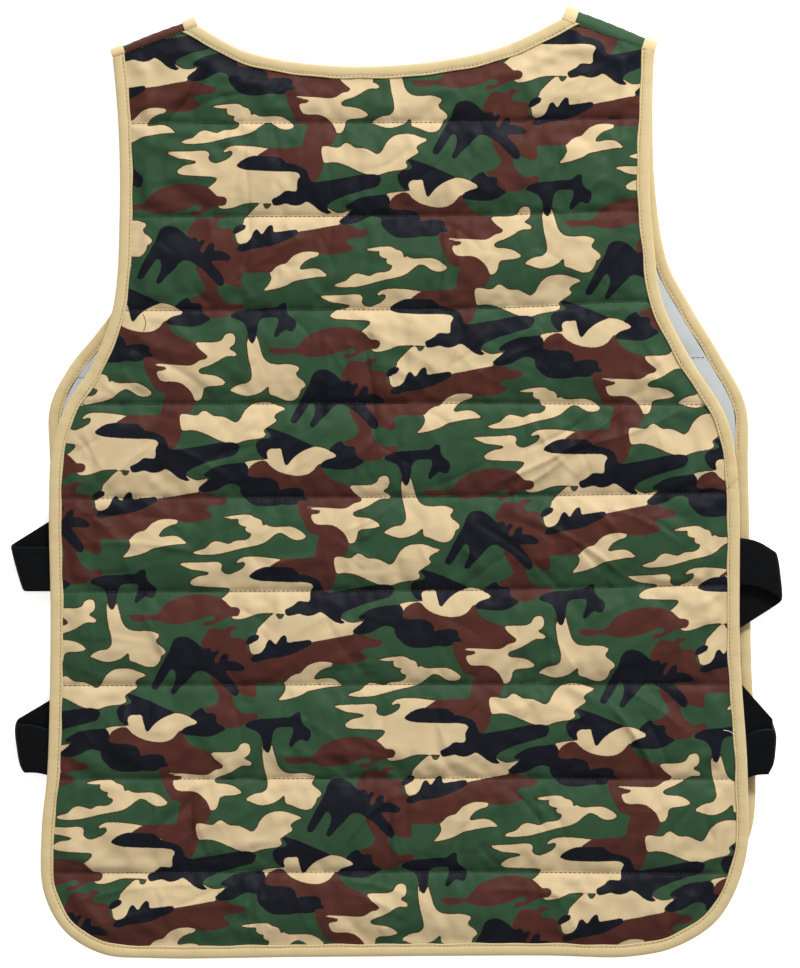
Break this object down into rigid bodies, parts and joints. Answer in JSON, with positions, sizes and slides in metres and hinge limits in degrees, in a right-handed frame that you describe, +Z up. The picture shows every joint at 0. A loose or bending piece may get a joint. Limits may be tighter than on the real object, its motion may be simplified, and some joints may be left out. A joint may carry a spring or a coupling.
{
  "type": "quilted vest",
  "caption": "Sleeveless quilted over-the-head vest lying flat, with bound edges, a pale lining and elastic loops that join its back and front panels at the sides.",
  "frame": {"origin": "under the middle of the vest, on the surface that it lies on", "axes": "+X to the right across the back panel, +Y towards the collar, +Z up through the back panel"},
  "size_m": [0.5404, 0.6668, 0.0224],
  "materials": {
    "camouflage_cloth": "printed plain-weave cotton, quilted",
    "lining_cloth": "pale blue-grey woven lining",
    "binding_tape": "beige bias binding, topstitched",
    "elastic_webbing": "black ribbed elastic"
  },
  "bodies": {
    "root": {"back_panel": "camouflage_cloth", "front_panel": "camouflage_cloth", "front_lining": "lining_cloth", "back_neck_binding": "binding_tape", "back_edge_binding": "binding_tape", "front_neck_binding": "binding_tape", "front_edge_binding": "binding_tape", "strap_left_upper": "elastic_webbing", "strap_left_lower": "elastic_webbing", "strap_right_upper": "elastic_webbing", "strap_right_lower": "elastic_webbing"}
  },
  "joints": []
}
